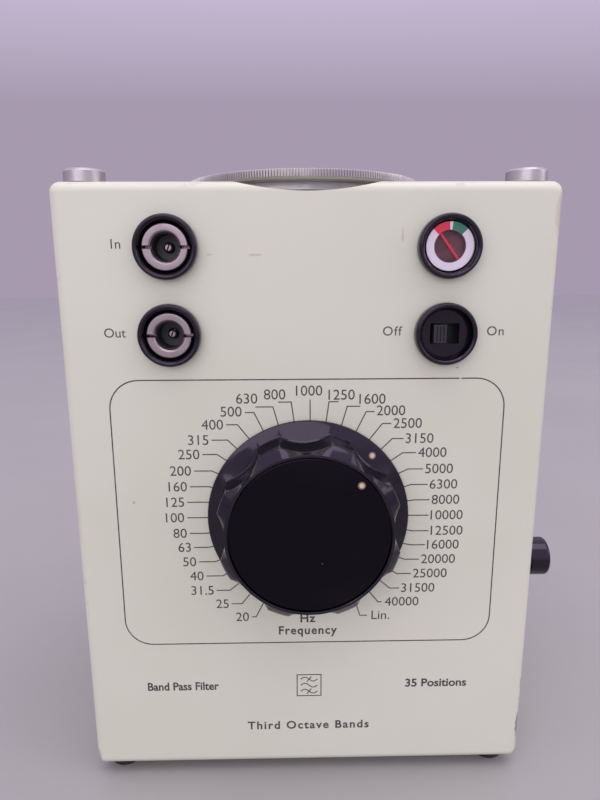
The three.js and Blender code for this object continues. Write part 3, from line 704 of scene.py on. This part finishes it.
def add_battery_door():
    half, bottom, top = BAY
    gap = 0.4
    low, high = (gap - half, 42.4, bottom + gap), (half - gap, BACK, top - gap)
    door = at_origin(block("battery_door_panel", low, high, 0.35))
    rib = block("rib", (-32, 40.5, 15), (32, 43, 68))
    join(door, cut(rib, block("inside", (-30.5, 40, 16.5), (30.5, 42.5, 66.5))))
    grips = [block("grip", (-8, BACK - 1.2, 14 + 3.4 * k), (8, BACK + 1, 15.6 + 3.4 * k)) for k in range(3)]
    seat = [
        (0, 38), (CLEAR_HOLE, 38), (CLEAR_HOLE, SHANK_SEAT), (5.3, SHANK_SEAT), (5.3, BACK - 0.3), (5.7, 46),
        (0, 46),
    ]
    cut(door, turned("seat", seat, (0, 0, COVER_SCREW_Z), "Y", 64), *grips)
    dress(door, "battery_door", "paint", stands_for=["battery_cover"])


def add_rear_screws():
    """Slotted cheese-head screws in their counterbores; the battery cover's is larger, for a coin."""
    for number in FOUR:
        slotted_screw(f"rear_screw_{number}", "case", 3.0, 1.4, 34, 0.9)
    slotted_screw("battery_cover_screw", "door_screw", 5.0, 1.9, 38.5, 1.4)


def slotted_screw(node, body, head, shank, tip, slot):
    place = centre_of(node)
    profile = [
        (0, tip), (shank, tip, 0.3), (shank, HEAD_UNDER), (head, HEAD_UNDER, 0.15), (head, HEAD_TOP, 0.35),
        (0, HEAD_TOP),
    ]
    screw = turned(node + "_head", profile, (place.x, 0, place.z), "Y", 64)
    groove = block("slot", (place.x - 6, 44.1, place.z - slot / 2), (place.x + 6, 46, place.z + slot / 2))
    dress(cut(screw, groove), body, "plated_metal", stands_for=[node])


def add_posts_and_feet():
    for number in FOUR:
        post = f"top_post_{number}"
        low, high, middle, radius = round_node(post)
        profile = [
            (0, INNER_TOP + 0.6), (1.9, INNER_TOP + 0.6), (1.9, TOP + 0.05), (radius - 0.3, TOP + 0.05),
            (radius, TOP + 0.35), (radius, high.z - 0.55, 0.08), (radius - 0.55, high.z, 0.08),
            (radius - 1.2, high.z, 0.1), (radius - 1.3, high.z - 0.06), (0, high.z - 0.06),
        ]
        dress(turned(f"support_post_{number}", profile, (middle.x, middle.y, 0), "Z"),
              "case", "turned_aluminium", stands_for=[post])
        foot = f"foot_{number}"
        low, high, middle, radius = round_node(foot)
        profile = [
            (0, low.z + 0.5), (1.6, low.z + 0.5, 0.2), (2.0, low.z, 0.2), (radius - 0.6, low.z, 0.5),
            (radius, 0.35, 0.2), (1.9, 0.35), (1.9, WALL), (0, WALL),
        ]
        dress(turned(f"rubber_foot_{number}", profile, (middle.x, middle.y, 0), "Z"),
              "case", "rubber", stands_for=[foot])


# ---- clamp ring

def add_clamp_ring():
    low, high = mm_box("clamp_ring")
    outer = high.x
    teeth, depth = 280, 0.4
    inner_thread, inner_lip = 30.6, 28.6
    profile = [
        (inner_lip, low.z), (outer - 0.9, low.z), (outer - 0.32, low.z + 0.5), (outer, low.z + 0.58),
        (outer, low.z + 1.3), (outer, high.z - 0.22), (outer - 0.2, high.z), (outer - 1.0, high.z),
        (outer - 1.1, high.z - 0.12), (outer - 1.6, high.z - 0.12), (outer - 1.7, high.z),
        (inner_thread + 0.15, high.z), (inner_thread, high.z - 0.15), (inner_thread, low.z + 0.6),
        (inner_lip, low.z + 0.6),
    ]
    knurled = {3: 1.0, 4: 1.0, 5: 1.0, 6: 0.55}
    per_tooth = 4

    def reach(radius, angle, index):
        phase = round(angle * teeth * per_tooth / (2 * math.pi)) % per_tooth
        return radius - knurled.get(index, 0) * depth * (0, 0, 1, 1)[phase]

    verts, faces = revolve([Vector(p) for p in profile], teeth * per_tooth, reach)
    ring = shape("knurled_ring", verts, faces)
    dress(ring, "ring", "turned_aluminium", stands_for=["clamp_ring"], crease=25)


def add_retainer():
    low, high = mm_box("ring_retainer")
    flange, hub = high.x, 28.2
    step = low.z + 2.75
    profile = [
        (0, low.z), (hub, low.z), (hub, step), (flange, step, 0.15), (flange, high.z, 0.3),
        (24, high.z), (23.8, high.z - 0.25), (0, high.z - 0.25),
    ]
    retainer = turned("retainer_disc", profile, (0, 0, 0), "Z", 192)
    places = [centre_of(f"retainer_screw_{number}") for number in (1, 2, 3)]
    seat = [(0, 150), (1.7, 150), (1.7, 159.8), (3.4, 159.8), (3.4, 165), (0, 165)]
    cut(retainer, *[turned("seat", seat, (place.x, place.y, 0), "Z", 48) for place in places])
    dress(retainer, "case", "steel", stands_for=["ring_retainer"])
    for number, place in enumerate(places, 1):
        profile = [(0, 152), (1.4, 152, 0.3), (1.4, 159.9), (3.1, 159.9, 0.1), (3.1, 160.7, 0.5), (0, 160.9)]
        screw = turned(f"retainer_pan_head_{number}", profile, (place.x, place.y, 0), "Z", 48)
        slot = block("slot", (place.x - 4, place.y - 0.4, 160.25), (place.x + 4, place.y + 0.4, 162))
        dress(cut(screw, slot), "case", "steel", stands_for=[f"retainer_screw_{number}"])


# ---- selector knob

LOBE_COUNT, LOBE_FLAT, FIRST_LOBE = 8, 13.5, 20.3
INDEX = 43.5                         # the index dots' angle, clockwise from the top of the dial


def scallop(angle):
    """0 on a lobe and 1 in the middle of a valley, for an angle measured from the top of the dial."""
    pitch = 360 / LOBE_COUNT
    from_lobe = abs((math.degrees(angle) - FIRST_LOBE + pitch / 2) % pitch - pitch / 2)
    across = (pitch / 2 - from_lobe) / (pitch / 2 - LOBE_FLAT / 2)
    return max(0.0, 1 - across ** 2)


def add_knob():
    """Thin round skirt, a wall with eight lobes, and a shoulder that closes to a round rim about the cap."""
    skirt, lobe, valley, rim, seat = 25.8, 22.9, 20.6, 20.55, 19.85
    foot, edge, height = 2.5, 10.5, 12.8
    rows = [
        (9.0, 0, 0.5), (skirt - 0.3, 0, 0.5), (skirt, 0, 0.75), (skirt, 0, 1.05), (skirt - 0.12, 0, 1.28),
        (skirt - 0.35, 0, 1.4), (skirt - 1.2, 0.12, 1.72), (lobe + 0.75, 0.75, foot - 0.12),
        (lobe + 0.3, 0.95, foot + 0.08), (lobe + 0.06, 1, foot + 0.45), (lobe, 1, foot + 1.0),
        (lobe, 1, 6.5), (lobe, 1, edge - 0.12), (lobe - 0.05, 1, edge + 0.03),
    ]
    shoulder = 8
    for k in range(1, shoulder + 1):
        t = k / shoulder
        rows.append((lobe - 0.05 + (rim - lobe) * t, 1 - t, edge + 0.03 + (height - 0.25 - edge) * t ** 0.85))
    rows += [
        (rim - 0.03, 0, height - 0.08), (rim - 0.14, 0, height), (seat + 0.14, 0, height),
        (seat, 0, height - 0.12), (seat, 0, 11.4), (3.2, 0, 11.4), (3.2, 0, 4.0), (9.0, 0, 4.0),
    ]
    hollow = lobe - valley

    def reach(radius, angle, index):
        return radius - hollow * rows[index][1] * scallop(math.pi / 2 - angle)

    verts, faces = revolve([Vector((r, h)) for r, _, h in rows], 720, reach)
    knob = shape("selector_knob", verts, faces, (0, FRONT, KNOB.z), "-Y")
    dress(knob, "selector", "knob_plastic", stands_for=["knob_body"], crease=28)
    face = height - 0.25
    cap = [
        (0, 11.45), (19.5, 11.45), (19.62, face - 0.2, 0.1), (19.35, face, 0.2), (18.9, face),
        (0, face + 0.02),
    ]
    dress(turned("selector_cap", cap, (0, FRONT, KNOB.z), "-Y", 256),
          "selector", CAP_GLOSS, stands_for=["knob_cap"])
    add_index_dot("skirt", 23.2, 2.02, 14)
    add_index_dot("cap", 17.7, face, 0)


def add_index_dot(name, radius, height, tilt):
    """A small ivory inlay in a tan rim, tilted outwards with the surface that it sits in."""
    angle = math.radians(INDEX)
    place = Vector((radius * math.sin(angle), FRONT - height, KNOB.z + radius * math.cos(angle)))
    outwards = Matrix.Rotation(math.radians(-tilt), 4, Vector((math.cos(angle), 0, -math.sin(angle))))
    for part, inner, outer, proud, look, slot in (
            ("rim", 0.55, 0.95, 0.07, TAN, "brass"), ("inlay", 0.0, 0.6, 0.10, IVORY, "dial_white")):
        profile = [(inner, -0.15), (outer, -0.15), (outer, proud, 0.05), (inner, proud, 0.02)]
        dot = turned(f"{name}_index_{part}", profile, (0, 0, 0), "-Y", 48)
        dot.matrix_world = Matrix.Translation(place * MM) @ outwards @ AXES["-Y"]
        dress(dot, "selector", look)


# ---- sockets, gauge and switch

def bezel_profile(bore=5.6):
    """Round black bezel: a neck through the panel and a full, rolled lip."""
    flange, neck = 7.55, 6.1
    return [
        (bore, -40), (neck, -40), (neck, FRONT - 0.05), (flange - 0.1, FRONT - 0.05, 0.15),
        (flange, FRONT - 0.4, 0.2), (flange, LIP + 0.9, 0.5), (flange - 0.25, LIP + 0.1, 0.45),
        (flange - 0.85, LIP, 0.35), (flange - 1.25, LIP + 0.35, 0.3), (bore + 0.15, LIP + 1.7, 0.3),
        (bore, LIP + 2.2, 0.2),
    ]


def add_bezel(name, bore=5.6):
    place = PANEL[name]
    return turned(name + "_rim", bezel_profile(bore), (place.x, 0, place.z), "Y", 128)


def add_socket(name):
    x, z = PANEL[name].x, PANEL[name].z
    dress(add_bezel(name), "case", "bezel_plastic", stands_for=[name + "_bezel"])
    mouth = LIP + 1
    shell = turned(name + "_ring", [
        (3.35, -36), (5.45, -36), (5.45, mouth + 0.25, 0.15), (5.2, mouth, 0.1), (3.8, mouth, 0.1),
        (3.35, mouth + 0.45, 0.15),
    ], (x, 0, z), "Y", 128)
    slots = [block("slot", (x + start, mouth - 1, z - 0.4), (x + start + 4, mouth + 4, z + 0.4))
             for start in (-7, 3)]
    dress(cut(shell, *slots), "case", "plated_metal", stands_for=[name + "_shell"])
    cup = [
        (1.25, -33), (3.25, -33), (3.25, -46.05), (3.12, -46.05, 0.05), (3.12, -41, 0.3), (1.25, -41, 0.15),
    ]
    dress(turned(name + "_insulating_cup", cup, (x, 0, z), "Y"), "case", "matte_black",
          stands_for=[name + "_insulator"])
    pin = [(0, -31), (1.1, -31), (1.1, -42.5, 0.3), (0.7, -42.8, 0.1), (0, -42.8)]
    contact = turned(name + "_centre_pin", pin, (x, 0, z), "Y", 48)
    split = block("slot", (-0.18, -42.99, -1.6), (0.18, -40.6, 1.6))
    tilt(split, (x, 0, z), 20)
    dress(cut(contact, split), "case", "plated_metal", stands_for=[name + "_contact"])


def sector(name, inner, outer, start, end, front, back, centre):
    """A flat printed arc between two angles, in degrees from the top, clockwise."""
    steps = max(2, round((end - start) / 2))
    verts = []
    for k in range(steps + 1):
        angle = math.radians(start + (end - start) * k / steps)
        for radius in (inner, outer):
            for y in (front, back):
                verts.append(Vector((radius * math.sin(angle), y, radius * math.cos(angle))) * MM)
    return shape(name, verts, strip_faces(steps), centre)


def add_gauge():
    """Battery gauge: a white ring with red and green fields round a dark movement with a red needle."""
    place = PANEL["gauge"]
    centre = (place.x, 0, place.z)
    dress(add_bezel("gauge", 5.7), "case", "bezel_plastic", stands_for=["gauge_bezel"])
    window = LIP + 0.8
    lens = [(0, window), (2.6, window + 0.02), (5.35, window + 0.12, 0.2), (5.6, window + 0.22, 0.05),
            (5.6, window + 0.4), (0, window + 0.4)]
    dress(turned("gauge_window", lens, centre, "Y", 96), "case", "lens_glass", stands_for=["gauge_lens"])
    dial = LIP + 1.5
    inner, outer = 3.75, 5.62
    dress(turned("gauge_scale", tube(inner, outer, dial, dial + 0.3, 0.05), centre, "Y", 128),
          "case", "dial_white", stands_for=["gauge_dial"])
    for name, start, end, look, slot in (
            ("red", -46, -3, "needle_red", "needle_red"), ("green", 5, 45, GREEN_PRINT, "board")):
        field = sector(f"gauge_{name}_field", inner + 0.01, outer - 0.02, start, end, dial - 0.03, dial,
                       centre)
        dress(field, "case", look)
    face = LIP + 2.8
    movement = [
        (0, face - 0.6), (0.28, face - 0.6, 0.1), (0.3, face + 0.55), (3.4, face + 0.55, 0.2),
        (3.7, face + 0.1, 0.1), (5.4, face), (5.4, -33, 0.3), (0, -33),
    ]
    dress(turned("gauge_movement_face", movement, centre, "Y", 96), "case", "movement_maroon",
          stands_for=["gauge_movement"])
    front, back = LIP + 1.98, LIP + 2.2
    needle = block("gauge_pointer", (-0.25, front, -3.6), (0.25, back, 3.6), 0.05)
    tilt(needle, centre, -37)
    hub = [(0, front - 0.03), (0.42, front - 0.03, 0.1), (0.42, back - 0.05), (0, back - 0.05)]
    join(needle, turned("hub", hub, centre, "Y", 32))
    dress(needle, "needle", "needle_red", stands_for=["gauge_needle"])


def add_switch():
    x, z = PANEL["switch"].x, PANEL["switch"].z
    well = add_bezel("switch")
    join(well, turned("floor", [(0, -45.2), (5.85, -45.2), (5.85, -44.0), (0, -44.0)], (x, 0, z), "Y", 64))
    cut(well, block("slot", (x - 3.55, -47, z - 2.45), (x + 3.55, -43, z + 2.45)))
    dress(well, "case", "bezel_plastic", stands_for=["switch_bezel"])
    low, high = mm_box("switch_slider")
    slider = at_origin(block("switch_thumb", (low.x, low.y, low.z), (high.x, -43.2, high.z), 0.18))
    ridges = 4
    pitch = (high.x - low.x) / ridges
    grooves = []
    for k in range(1, ridges):
        middle = low.x + pitch * k
        grooves.append(block("groove", (middle - 0.16, low.y - 1, low.z + 0.4),
                             (middle + 0.16, low.y + 0.35, high.z - 0.4)))
    cut(slider, *grooves)
    middle = (low.x + high.x) / 2
    join(slider, block("stem", (middle - 0.8, -44, z - 0.8), (middle + 0.8, high.y, z + 0.8)))
    dress(slider, "power_slider", "matte_black", stands_for=["switch_slider"])


def add_button():
    low, high = mm_box("button_cap")
    centre = (0, (low.y + high.y) / 2, (low.z + high.z) / 2)
    radius, end, rim = (high.z - low.z) / 2, high.x, 63.9
    profile = [
        (0, low.x), (2.3, low.x, 0.3), (2.3, 66.5), (4.5, 66.5), (4.5, rim), (radius, rim, 0.2),
        (radius, end - 0.6, 0.5), (radius - 0.6, end, 0.5), (radius - 1.6, end, 0.4), (0, end - 0.25),
    ]
    dress(turned("check_button_cap", profile, centre, "X", 96), "check_button", "bezel_plastic",
          stands_for=["button_cap"])
    collar = [
        (2.5, 54), (4.2, 54), (4.2, HALF_WIDTH + 0.05), (5.3, HALF_WIDTH + 0.05, 0.15),
        (5.3, HALF_WIDTH + 1.1, 0.25), (4.2, HALF_WIDTH + 1.1), (4.2, 63.6, 0.15), (2.5, 63.6, 0.15),
    ]
    dress(turned("check_button_collar", collar, centre, "X", 96), "case", "matte_black",
          stands_for=["button_bushing"])


# ---- printing on the panel

def stroke(points, width, name="stroke"):
    """A thin raised line of even width along (x, z) points in mm."""
    points = [Vector(p) for p in points]
    verts = []
    for i, here in enumerate(points):
        into = (here - points[i - 1]).normalized() if i else None
        out = (points[i + 1] - here).normalized() if i < len(points) - 1 else None
        along = ((into or out) + (out or into)).normalized()
        side = Vector((-along.y, along.x))
        reach = width / 2 / max(0.5, side.dot(Vector((-(out or into).y, (out or into).x))))
        for edge in (here + side * reach, here - side * reach):
            verts += [Vector((edge.x, FRONT + y, edge.y)) * MM for y in (-PRINT, PRINT)]
    return shape(name, verts, strip_faces(len(points) - 1))


def print_merged(name, pieces):
    """Joins printed pieces into one object in the panel's ink."""
    body = bmesh.new()
    for piece in pieces:
        mesh = piece.data.copy()
        mesh.transform(piece.matrix_world)
        body.from_mesh(mesh)
        bpy.data.objects.remove(piece)
    dress(from_bmesh(name, body), "case", INK)


def glyphs(text, height, spacing, weight, width):
    """A raised word in the panel's plane, its lower left corner at the origin, and its width."""
    curve = bpy.data.curves.new("word", "FONT")
    curve.body = text
    curve.size = 1
    curve.space_character = spacing
    curve.offset = weight
    curve.resolution_u = 4
    typed = linked("word", curve)
    mesh = evaluated(typed)
    bpy.data.objects.remove(typed)
    scale = height / CAP_HEIGHT
    left = min(v.co.x for v in mesh.vertices)
    right = max(v.co.x for v in mesh.vertices)
    across = width / (right - left) if width else scale
    body = bmesh.new()
    body.from_mesh(mesh)
    bmesh.ops.remove_doubles(body, verts=body.verts, dist=1e-5)
    for v in body.verts:
        v.co = Vector(((v.co.x - left) * across * MM, (FRONT - PRINT) * MM, v.co.y * scale * MM))
    flat = bmesh.ops.extrude_face_region(body, geom=body.faces[:])
    for v in (item for item in flat["geom"] if isinstance(item, bmesh.types.BMVert)):
        v.co.y += 2 * PRINT * MM
    bmesh.ops.recalc_face_normals(body, faces=body.faces)
    return from_bmesh("word", body), (right - left) * across


def word(text, x, z, height, align="left", spacing=1.0, weight=0.0, width=None):
    """A word whose left edge, middle or right edge is at x, with the capitals centred on z."""
    made, width = glyphs(text, height, spacing, weight, width)
    shift = {"left": 0, "centre": -width / 2, "right": -width}[align]
    made.location = Vector((x + shift, 0, z - height / 2)) * MM
    bpy.context.view_layer.update()
    return made


CAP_HEIGHT = 0.65                    # of the built-in font's capitals and digits, as a part of its size
LINE = 0.27
LEADER_START = 25.2                  # the leaders' distance from the centre, just under the skirt's edge
DIAL = (0.5, 74.9)                   # centre of the printed scale, a hair off the knob's axis
DIGIT = 2.4
STEP = 9.0
# Left and right labels of each height, where their leaders bend (x out from the centre, z up), and where
# the left and right lettering begins, from the bottom of the dial to its top.
SCALE = [
    ("20", "Lin.", 14.5, -28.65, 16.9, 16.1), ("25", "40000", 18.2, -24.7, 22.2, 19.6),
    ("31.5", "31500", 21.3, -20.7, 26.1, 23.9), ("40", "25000", 23.0, -16.5, 28.6, 26.9),
    ("50", "20000", 25.0, -12.4, 30.4, 28.9), ("63", "16000", 26.6, -8.3, 31.6, 30.3),
    ("80", "12500", 26.8, -4.35, 32.5, 31.1), ("100", "10000", 26.8, 0.0, 33.0, 30.9),
    ("125", "8000", 26.8, 4.25, 32.8, 31.0), ("160", "6300", 25.85, 8.45, 31.9, 30.3),
    ("200", "5000", 25.0, 12.65, 30.7, 29.0), ("250", "4000", 23.5, 17.0, 28.4, 27.0),
    ("315", "3150", 20.75, 20.75, 26.0, 23.7), ("400", "2500", 18.15, 24.7, 22.2, 20.5),
    ("500", "2000", 14.0, 27.8, 17.5, 16.2),
]
# The labels beside the top one stand above their leaders: label, bend, leader's end, left edge and height.
UPPER = [
    ("630", -9.25, 29.2, -13.6, -19.0, 31.3), ("800", -4.7, 30.4, -7.9, -12.1, 32.3),
    ("1250", 4.7, 30.4, 7.1, 3.9, 32.1), ("1600", 9.25, 29.2, 12.5, 11.6, 31.0),
]


def leader(angle, side, bend_x, bend_z, end_x):
    """From the skirt's edge out to the bend and on, level, to the lettering."""
    x0, z0 = DIAL
    first = (x0 + side * LEADER_START * math.sin(angle), z0 + LEADER_START * math.cos(angle))
    return stroke([first, (x0 + side * bend_x, z0 + bend_z), (x0 + side * end_x, z0 + bend_z)], LINE)


def add_scale():
    x0, z0 = DIAL
    left_gap, right_gap, shift = 0.8, 0.55, 0.45
    tight = {0: 1.25, 1: 0.85}       # the two lowest leaders on the right end well before their labels
    lines, words = [], []
    first = math.radians(153)
    for row, (left, right, bend_x, bend_z, left_edge, right_edge) in enumerate(SCALE):
        angle = first - math.radians(STEP) * row
        raised = z0 + bend_z + (0.22 if row == len(SCALE) - 1 else 0)
        label_end, label_start = left_edge - shift, right_edge + shift
        lines.append(leader(angle, -1, bend_x, bend_z, label_end - left_gap))
        right_end = label_start - tight.get(row, right_gap)
        lines.append(leader(angle, 1, bend_x if row else 13.4, bend_z, right_end))
        words.append(word(left, x0 - label_end, raised, DIGIT, "right"))
        words.append(word(right, x0 + label_start, raised, DIGIT))
    for row, (label, bend_x, bend_z, end_x, left_edge, height) in enumerate(UPPER):
        side = 1 if bend_x > 0 else -1
        angle = math.radians(STEP) * (1 if abs(bend_x) < 6 else 2)
        lines.append(leader(angle, side, abs(bend_x), bend_z, abs(end_x)))
        words.append(word(label, x0 + left_edge + 0.65, z0 + height, DIGIT))
    lines.append(stroke([(x0, z0 + LEADER_START), (x0, z0 + 31.0)], LINE))
    words.append(word("1000", x0 - 0.25, z0 + 33.2, DIGIT, "centre"))
    print_merged("dial_leaders", lines)
    print_merged("dial_numbers", words)


def add_frame_line():
    """The rounded frame round the dial, with a tiny break where the ink missed."""
    half_width, low, high, corner = 49.05, 38.4, 111.0, 7.3
    points = outline(half_width, low, high, corner, 10)
    gap_x, gap = 37.7, 0.25
    start = [(gap_x - gap, high)]
    loop = points[11:] + points[:11]
    dress(stroke(start + loop + [(gap_x + gap, high)], 0.3, "panel_frame"), "case", INK)


def add_words():
    small, large, bold = 2.1, 2.25, 0.022
    words = [
        word("In", -46.1, 143.4, small, "left", 1.15), word("Out", -49.1, 122.6, small),
        word("Off", 18.2, 122.7, small, "left", 1.12), word("On", 43.6, 122.6, small, "left", 1.1),
        word("Hz", -0.1, 45.6, large, "centre", 1.1, bold),
        word("Frequency", -0.1, 42.0, large, "centre", 1.15, bold, 15.7),
        word("Band Pass Filter", -44.2, 25.2, large, "left", 1.0, bold, 19.5),
        word("35 Positions", 43.9, 25.2, large, "right", 1.0, bold, 17.0),
        word("Third Octave Bands", 0, 12.3, large, "centre", 1.2, bold, 34.0),
    ]
    print_merged("panel_words", words)


def add_symbol():
    """The general circuit symbol of a band-pass filter: a square with three waves, two of them struck out."""
    x0, z0, half = 0.2, 25.0, 3.3
    width = 0.26
    turns = ((0, 1), (1, 1), (1, -1), (-1, -1), (-1, 1), (0, 1))
    square = [(x0 + dx * half, z0 + dz * half) for dx, dz in turns]
    lines = [stroke(square, width)]
    for level in (-1.9, 0, 1.9):
        steps = 20
        wave = [(x0 - 2.3 + 4.6 * k / steps, z0 + level + 0.62 * math.sin(2 * math.pi * k / steps))
                for k in range(steps + 1)]
        lines.append(stroke(wave, width))
        if level:
            lines.append(stroke([(x0 - 0.6, z0 + level - 0.8), (x0 + 0.6, z0 + level + 0.8)], width))
    print_merged("filter_symbol", lines)


# ---- inside

def add_cells():
    for number in FOUR:
        node = f"cell_{number}"
        low, high, middle, radius = round_node(node)
        half = (high.z - low.z) / 2
        profile = [
            (0, 0.3 - half), (radius - 1.6, 0.3 - half), (radius - 1.3, -half, 0.2), (radius, -half, 0.5),
            (radius, half - 1.2, 0.5), (radius - 1.1, half - 1.2, 0.2), (radius - 1.3, half - 1.5),
            (2.8, half - 1.5), (2.7, half, 0.5), (0, half),
        ]
        cell = turned(f"dry_cell_{number}", profile, middle, "Z", 64)
        dress(cell, "case", "cell_jacket", stands_for=[node])


def dress_cad_nodes():
    """The inner CAD nodes keep their shapes and take the same finishes as the new pieces."""
    looks = {part["node"]: part["material_slot"] for part in frame["record"]["subparts"]}
    for name, node in frame["nodes"].items():
        node.data.materials.clear()
        node.data.materials.append(LOOKS[looks[name]])


# ---- the whole scene

add_camera()
add_world()
add_lights()
add_floor()
dress_cad_nodes()
add_casing()
add_rear_cover()
add_battery_door()
add_rear_screws()
add_posts_and_feet()
add_clamp_ring()
add_retainer()
add_knob()
add_socket("in_socket")
add_socket("out_socket")
add_gauge()
add_switch()
add_button()
add_cells()
add_scale()
add_frame_line()
add_words()
add_symbol()

scene.view_settings.view_transform = "Standard"
